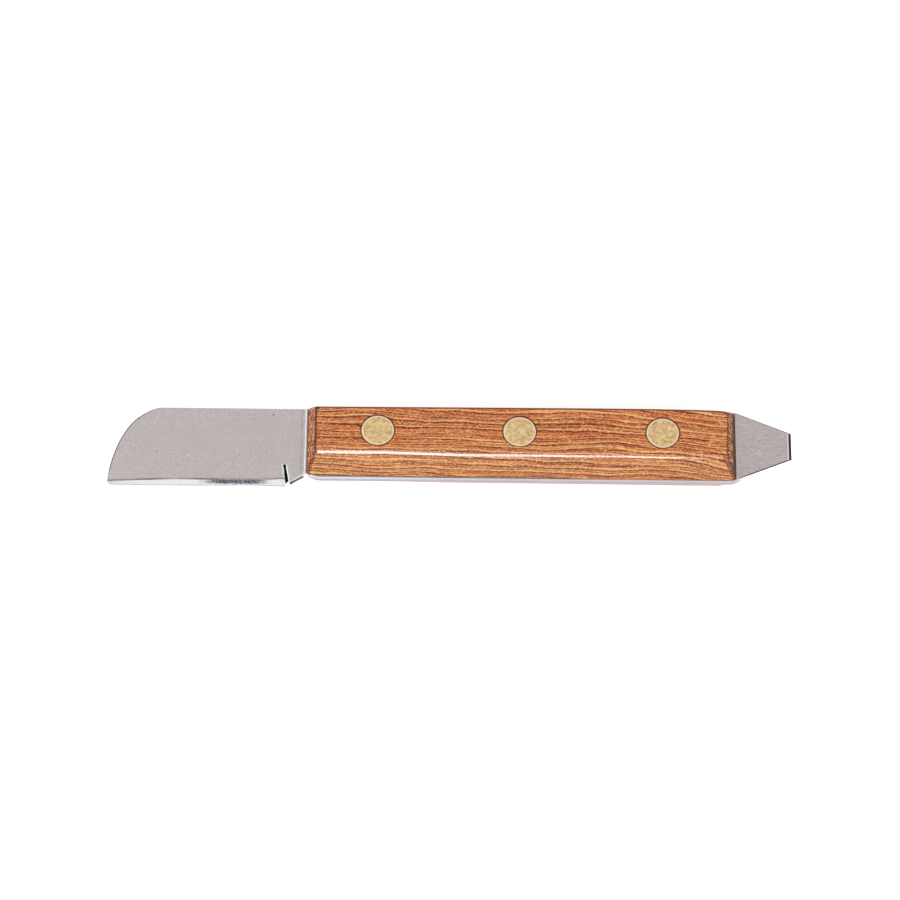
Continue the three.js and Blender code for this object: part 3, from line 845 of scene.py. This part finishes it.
                # painted shade on the filed slope's wall and lower corner; its upper corner takes the bright bevel
                # material, a painted highlight
                return 6 if outer in (2, 5) and x < -38.0 else 1
            if x > BUTT - 0.1:
                return 4
            if outer != 2 and (x > 75.0 or (x < -76.2 and not (x > -88.3 and y < -11.2))):
                return 7                              # dull line round the nose and the pry tip
            return 2
        for k in range(n):
            k2 = (k + 1) % n
            for chain, side in ((up, 1), (dn, -1)):
                for p, q in zip(chain, chain[1:]):
                    f = (p[k], p[k2], q[k2], q[k])
                    parts_f.append(f if side > 0 else f[::-1])
                    parts_m.append(wall_kind(k, 4 if side > 0 else 5))
            f = (up[-1][k], up[-1][k2], dn[-1][k2], dn[-1][k])
            parts_f.append(f)
            parts_m.append(wall_kind(k, 2))
    for sheet_faces, base in ((F, top), (F2, bottom)):
        near = {}
        for f in sheet_faces:
            for a, b in zip(f, f[1:] + f[:1]):
                near.setdefault(a, set()).add(b)
                near.setdefault(b, set()).add(a)
        loose = [v for v in near if v not in border and -42.3 < V[v][0] < -38.4 and V[v][1] < -7.0]
        for _ in range(400):
            for v in loose:
                for c in (0, 1):
                    parts_v[base + v][c] += 0.9 * (sum(parts_v[base + w][c] for w in near[v]) / len(near[v]) - parts_v[base + v][c])
    ob = new_object("steel_blank", parts_v, parts_f, mats, parts_m)
    return ob



# ------------------------------------------------------------------ the wooden scales
def fillet_loop(corners, n_side, n_arc):
    """A closed clockwise loop through four corners, each (x, y, radius), rounded, with evenly spread points on its sides."""
    c = [np.array(p[:2], float) for p in corners]
    arcs = []
    for k in range(4):
        p, a, b = c[k], c[k - 1], c[(k + 1) % 4]
        u, v = (a - p) / np.linalg.norm(a - p), (b - p) / np.linalg.norm(b - p)
        half = math.acos(clamp(float(u @ v), -1, 1)) / 2
        r = corners[k][2]
        d = r / math.tan(half)
        centre = p + (u + v) / np.linalg.norm(u + v) * (r / math.sin(half))
        s, e = p + u * d - centre, p + v * d - centre
        a0, a1 = math.atan2(s[1], s[0]), math.atan2(e[1], e[0])
        while a1 > a0:
            a1 -= 2 * math.pi
        arcs.append([centre + r * np.array([math.cos(a0 + (a1 - a0) * t), math.sin(a0 + (a1 - a0) * t)])
                     for t in np.linspace(0, 1, n_arc)])
    out = []
    for k in range(4):
        out += arcs[k]
        a, b = arcs[k][-1], arcs[(k + 1) % 4][0]
        n = n_side[k]
        out += [a + (b - a) * t for t in np.linspace(0, 1, n + 1)[1:-1]]
    return np.array(out)


PLAN_SPINE = soft_line([(-38, 9.86), (0, 9.88), (40, 9.9), (75, 9.9)])
PLAN_BELLY = soft_line([(-38, -9.26), (-24.9, -9.40), (-4, -9.60), (17, -9.64), (37, -9.74), (58, -9.76), (69, -9.80), (75, -9.74)])
FLAT_SPINE = soft_line([(-36, 6.64), (-18, 6.70), (-1, 6.77), (20, 6.86), (39, 6.92), (51, 6.91), (62, 6.79), (66, 6.69), (70, 6.50), (73, 6.30)])
FLAT_BELLY = soft_line([(-36, -6.30), (-25.7, -6.27), (-19.5, -6.20), (-13.3, -6.36), (-7.1, -6.56), (-0.9, -6.70), (5.3, -6.80), (17.7, -6.78),
                        (30, -6.80), (42, -6.85), (54.9, -7.03), (62, -7.08), (73, -6.95)])


def warped(loop, up, down, y_up, y_down):
    """Bends a loop's straight long sides to the curves up(x) and down(x)."""
    out = loop.copy()
    for k, (x, y) in enumerate(loop):
        if y > 0:
            out[k, 1] = y * float(np.interp(x, up[:, 0], up[:, 1])) / y_up
        else:
            out[k, 1] = y * float(np.interp(x, down[:, 0], down[:, 1])) / y_down
    return out


def worn_spine(x):
    return 0.55 + 0.15 * smooth(-34, 30, x)


def worn_belly(x):
    return 1.60 - 0.35 * smooth(-34, 10, x) - 0.45 * smooth(10, 70, x)


def make_scale(name, side, mats):
    n_side, n_arc = (72, 14, 72, 14), 9
    flat_belly = FLAT_BELLY.copy()
    if side < 0:                            # the back scale's belly side leans in further
        flat_belly[:, 1] = flat_belly[:, 1] * 0.4 - 5.95 * 0.6
    low = fillet_loop([(-37.4, 10, 0.45), (74.5, 10, 0.7), (74.5, -10, 0.9), (-37.35, -10, 1.0)], n_side, n_arc)
    plan_belly = PLAN_BELLY.copy()
    if side < 0:
        plan_belly[:, 1] += 0.3
    low = warped(low, PLAN_SPINE, plan_belly, 10, -10)
    high = fillet_loop([(-34.85, 10, 0.35), (72.15, 10, 2.1), (71.72, -10, 1.7), (-34.9, -10, 0.9)], n_side, n_arc)
    high = warped(high, FLAT_SPINE, flat_belly, 10, -10)
    n = len(low)
    # the flat proper ends where the worn corner begins
    inner_spine = np.array([(x, y - worn_spine(x)) for x, y in FLAT_SPINE])
    inner_belly = np.array([(x, y + worn_belly(x)) for x, y in flat_belly])
    end = fillet_loop([(-34.51, 10, 0.2), (71.75, 10, 1.7), (71.3, -10, 1.3), (-34.5, -10, 0.6)], n_side, n_arc)
    end = warped(end, inner_spine, inner_belly, 10, -10)
    round_off = np.linalg.norm(end - high, axis=1)
    for _ in range(6):
        round_off = (np.roll(round_off, 1) + round_off + np.roll(round_off, -1)) / 3
    swell = np.where((low[:, 1] < 0) & (side < 0), 0.0, 0.16)
    h0, h1 = HALF_T, FACE_Z
    rise = h1 - h0
    V, rings = [], []

    def ring(xy, z):
        base = len(V)
        for k in range(n):
            V.append([xy[k][0], xy[k][1], side * (z[k] if hasattr(z, "__len__") else z)])
        rings.append(list(range(base, base + n)))

    out_dir = low - high
    out_dir /= np.linalg.norm(out_dir, axis=1)[:, None]
    ring(low - out_dir * 0.09, h0 + 0.002)
    ring(low - out_dir * 0.02, h0 + 0.05)
    slope = low - high                      # plan run of the side face over its rise
    run = np.linalg.norm(slope, axis=1)
    length = np.hypot(run, rise)
    for s in (0.016, 0.05, 0.12, 0.25, 0.4, 0.55, 0.7, 0.8):
        bulge = swell[:, None] * 4 * s * (1 - s)
        top_s = 1 - round_off / length
        ss = s * top_s / 0.8 if s <= 0.8 else s
        xy = low - slope * ss[:, None] + out_dir * bulge
        ring(xy, h0 + rise * ss)
    e = 1 - round_off / length              # where the rounded corner begins
    start = low - slope * e[:, None] + out_dir * (swell[:, None] * 4 * 0.8 * 0.2)
    start_z = h0 + rise * e
    for b in (0.12, 0.25, 0.38, 0.5, 0.62, 0.75, 0.88, 1.0):
        xy = start * (1 - b) ** 2 + high * 2 * b * (1 - b) + end * b * b
        z = start_z * (1 - b) ** 2 + h1 * 2 * b * (1 - b) + h1 * b * b
        ring(xy, z)
    faces = []
    for p, q in zip(rings, rings[1:]):
        for k in range(n):
            k2 = (k + 1) % n
            f = (p[k], q[k], q[k2], p[k2])
            faces.append(f if side > 0 else f[::-1])

    # flat top, round the three rivet seats; and the face that lies on the steel, with the three through holes
    def plate(border, radius, z, facing, seg=72):
        pts = [Vector((V[v][0], V[v][1])) for v in border]
        edges = [(k, (k + 1) % len(border)) for k in range(len(border))]
        circles = []
        for rx in RIVET_X:
            b = len(pts)
            pts += [Vector((rx + radius * math.cos(a), radius * math.sin(a))) for a in np.linspace(0, 2 * math.pi, seg, endpoint=False)]
            edges += [(b + k, b + (k + 1) % seg) for k in range(seg)]
            circles.append(b)
        for gx in np.arange(-33, 71, 2.6):
            for gy in (-4.4, -2.2, 0, 2.2, 4.4):
                if min(math.hypot(gx - rx, gy) for rx in RIVET_X) > radius + 0.8:
                    pts.append(Vector((gx, gy)))
        vo, eo, fo, orig, _, _ = delaunay_2d_cdt(pts, edges, [], 1, 1e-6)
        own = {}
        where = {}
        for k, src in enumerate(orig):
            first = min(src) if src else None
            if first is not None and first < len(border):
                own[k] = border[first]
            else:
                own[k] = len(V)
                V.append([vo[k].x, vo[k].y, side * z])
            for sidx in src:
                where[sidx] = own[k]
        for f in fo:
            cx = sum(vo[v].x for v in f) / len(f)
            cy = sum(vo[v].y for v in f) / len(f)
            if min(math.hypot(cx - rx, cy) for rx in RIVET_X) < radius * 0.999:
                continue
            g = [own[v] for v in f]
            area = sum(V[a][0] * V[b][1] - V[b][0] * V[a][1] for a, b in zip(g, g[1:] + g[:1]))
            up = (area > 0)
            faces.append(tuple(g if up == (facing > 0) else g[::-1]))
        return [[where[b + k] for k in range(seg)] for b in circles]

    seat_r = HEAD_R + 0.035
    top = plate(rings[-1], seat_r, h1, side)
    bottom = plate(rings[0], 2.5, h0 + 0.002, -side)
    seg = 72
    for rx, t_loop, b_loop in zip(RIVET_X, top, bottom):
        chain = [t_loop]

        def hoop(radius, z):
            base = len(V)
            for a in np.linspace(0, 2 * math.pi, seg, endpoint=False):
                V.append([rx + radius * math.cos(a), radius * math.sin(a), side * z])
            chain.append(list(range(base, base + seg)))
        hoop(seat_r, h1 - 1.0)
        hoop(seat_r, SEAT_Z)
        hoop(2.5, SEAT_Z)
        chain.append(b_loop)
        for p, q in zip(chain, chain[1:]):
            for k in range(seg):
                k2 = (k + 1) % seg
                f = (p[k], q[k], q[k2], p[k2])
                faces.append(f[::-1] if side > 0 else f)
    ob = new_object(name, V, faces, mats)
    for p in ob.data.polygons:
        nx, ny, nz = p.normal
        if abs(nz) < 0.96 and (abs(nx) > 0.5 or 0.28 < ny < 0.85):
            p.material_index = 1
        elif ny < -0.03 and 0.45 < abs(nz) < 0.9995:
            p.material_index = 2
    crisp(ob, 40)
    return ob


# ------------------------------------------------------------------ the rivets
def lathe(name, x, profile, mat, seg=96):
    """Turns a (radius, height) profile, which starts and ends on the axis, about the rivet's axis."""
    V, F = [], []
    rings = []
    for r, z in profile:
        if r < 1e-6:
            rings.append([len(V)])
            V.append([x, 0, z])
        else:
            rings.append(list(range(len(V), len(V) + seg)))
            V += [[x + r * math.cos(a), r * math.sin(a), z] for a in np.linspace(0, 2 * math.pi, seg, endpoint=False)]
    for p, q in zip(rings, rings[1:]):
        for k in range(seg):
            k2 = (k + 1) % seg
            if len(p) == 1:
                F.append((p[0], q[k2], q[k]))
            elif len(q) == 1:
                F.append((p[k], p[k2], q[0]))
            else:
                F.append((p[k], p[k2], q[k2], q[k]))
    ob = new_object(name, V, F, [mat])
    crisp(ob, 40)
    return ob


def head_profile(sign):
    """Points (radius, height) from the shank's shoulder out over the flush head to its middle."""
    rim = 0.12
    pts = [(HEAD_R - 0.12, SEAT_Z), (HEAD_R, SEAT_Z + 0.12), (HEAD_R, FACE_Z - 0.06 - rim)]
    for a in (22.5, 45, 67.5, 90):
        pts.append((HEAD_R - rim + rim * math.cos(math.radians(a)), FACE_Z - 0.06 - rim + rim * math.sin(math.radians(a))))
    for r in (3.2, 2.4, 1.6, 0.8):
        pts.append((r, FACE_Z - 0.06 * (r / HEAD_R) ** 2))
    pts.append((0.0, FACE_Z))
    return [(r, sign * z) for r, z in pts]


def male_profile():
    return [(0, -5.3), (1.25, -5.3), (1.45, -5.15), (1.6, -4.7), (1.6, SEAT_Z)] + head_profile(1)


def female_profile():
    return head_profile(-1)[::-1] + [(2.4, -SEAT_Z), (2.4, 5.7), (2.3, 5.8), (1.75, 5.8), (1.65, 5.7), (1.65, -5.6), (0, -5.6)]


# ------------------------------------------------------------------ assembly
blank = make_blank([steel_face("satin_steel"), steel_bevel("honed_bevel"), steel_cut("steel_outline"), steel_slit("slit_wall"), pry_end_dark_reflection("pry_end_dark_reflection"),
                    steel_burr_and_shade("burr_and_crease_shade"), steel_filed("filed_heel"), steel_line("dull_corner")])
crisp(blank, 35, between=((1, 5), (0, 4)))
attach(blank, "root")
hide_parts("blade_tang")

for name, side, offset in (("front_scale", 1, (0.0, 0.0, 0.0)), ("back_scale", -1, (160.0, 47.0, 23.0))):
    ob = make_scale("wood_" + name, side, [rosewood("rosewood_" + name, offset, 0.17), rosewood("sawn_end_" + name, offset, 0.0),
                                            rosewood("polished_corner_" + name, offset, 1.0)])
    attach(ob, "root")
    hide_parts(name)

for k, (name, rx) in enumerate(zip(("blade_end", "middle", "pry_end"), RIVET_X)):
    for half, profile in (("male", male_profile()), ("female", female_profile())):
        mat = brass(f"brass_{name}_{half}", rx, (31.0 * k + 3, 12.0 * k, 5.0))
        ob = lathe(f"brass_{name}_{half}", rx, profile, mat)
        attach(ob, "root")
        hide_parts(f"{name}_rivet_{half}")

# ------------------------------------------------------------------ floor, light, camera
scene = bpy.context.scene
low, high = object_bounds()


def make_floor():
    mesh = bpy.data.meshes.new("floor")
    s, n = 3.0, 12
    verts = [(-s + 2 * s * i / n, -s + 2 * s * j / n, low.z - 0.0002) for j in range(n + 1) for i in range(n + 1)]
    faces = [(j * (n + 1) + i, j * (n + 1) + i + 1, (j + 1) * (n + 1) + i + 1, (j + 1) * (n + 1) + i) for j in range(n) for i in range(n)]
    mesh.from_pydata(verts, [], faces)
    ob = bpy.data.objects.new("floor", mesh)
    scene.collection.objects.link(ob)
    mat = bpy.data.materials.new("pale_floor")
    mat.use_nodes = True
    t = mat.node_tree
    b = t.nodes["Principled BSDF"]
    c = t.nodes.new("ShaderNodeTexCoord")
    nz = t.nodes.new("ShaderNodeTexNoise")
    nz.inputs["Scale"].default_value = 60
    r = t.nodes.new("ShaderNodeValToRGB")
    r.color_ramp.elements[0].color = (0.90, 0.90, 0.90, 1)
    r.color_ramp.elements[1].color = (0.93, 0.93, 0.93, 1)
    t.links.new(c.outputs["Object"], nz.inputs["Vector"])
    t.links.new(nz.outputs[0], r.inputs[0])
    t.links.new(r.outputs[0], b.inputs["Base Color"])
    b.inputs["Emission Color"].default_value = (1, 1, 1, 1)
    b.inputs["Emission Strength"].default_value = 0.38       # a lit white table
    b.inputs["Roughness"].default_value = 0.9
    b.inputs["Specular IOR Level"].default_value = 0.1
    mesh.materials.append(mat)


make_floor()

world = bpy.data.worlds.new("studio")
world.use_nodes = True
world.node_tree.nodes["Background"].inputs[0].default_value = (1.0, 0.992, 0.985, 1)
world.node_tree.nodes["Background"].inputs[1].default_value = 0.74
scene.world = world


def softbox(name, azimuth, tilt, distance, size, power, colour):
    """A rectangular light, tilt degrees down from overhead towards azimuth (0 is -Y, 90 is +X), facing the object's middle."""
    a, t = math.radians(azimuth), math.radians(tilt)
    direction = Vector((math.sin(a) * math.sin(t), -math.cos(a) * math.sin(t), math.cos(t)))
    data = bpy.data.lights.new(name, "AREA")
    data.shape = "RECTANGLE"
    data.size, data.size_y = size
    data.energy = power
    data.color = colour
    ob = bpy.data.objects.new(name, data)
    centre = (low + high) / 2
    ob.location = centre + direction * distance
    ob.rotation_mode = "QUATERNION"
    ob.rotation_quaternion = direction.to_track_quat("Z", "Y")
    scene.collection.objects.link(ob)
    return ob


front_box = softbox("front_box", -1, 50, 1.1, (0.26, 0.80), 8.4, (1.0, 0.995, 0.985))
lit = bpy.data.collections.new("lit_by_front_box")
for name in ("wood_front_scale", "wood_back_scale", "floor"):
    lit.objects.link(bpy.data.objects[name])
front_box.light_linking.receiver_collection = lit
softbox("left_box", -120, 46, 1.2, (0.50, 0.50), 1.40, (0.62, 0.86, 1.0))
softbox("top_box", 0, 14, 1.3, (0.60, 0.30), 0.155, (1.0, 1.0, 1.0))

# The camera looks down on the knife, tilted 26 degrees from straight down, rolled by half a degree.
tilt, roll, distance = math.radians(26.0), 0.0102, 1.0
target = Vector((0.0, 0.00002, OFF[2] / 1000))
forward = Vector((0, math.sin(tilt), -math.cos(tilt)))
right = Vector((1, 0, 0))
up = right.cross(forward)
r2 = right * math.cos(roll) + up * math.sin(roll)
u2 = up * math.cos(roll) - right * math.sin(roll)
cam = bpy.data.cameras.new("camera")
cam.sensor_width = 36
cam.lens = 36 * distance * 1000 / (0.2609 * 900)
cam.clip_start, cam.clip_end = 0.05, 20
camera = bpy.data.objects.new("camera", cam)
m = Matrix.Identity(4)
for k, v in enumerate((r2, u2, -forward, target - forward * distance)):
    for r in range(3):
        m[r][k] = v[r]
camera.matrix_world = m
scene.collection.objects.link(camera)
scene.camera = camera

scene.view_settings.view_transform = "Standard"
scene.view_settings.look = "None"
scene.view_settings.exposure = 0
scene.view_settings.gamma = 1
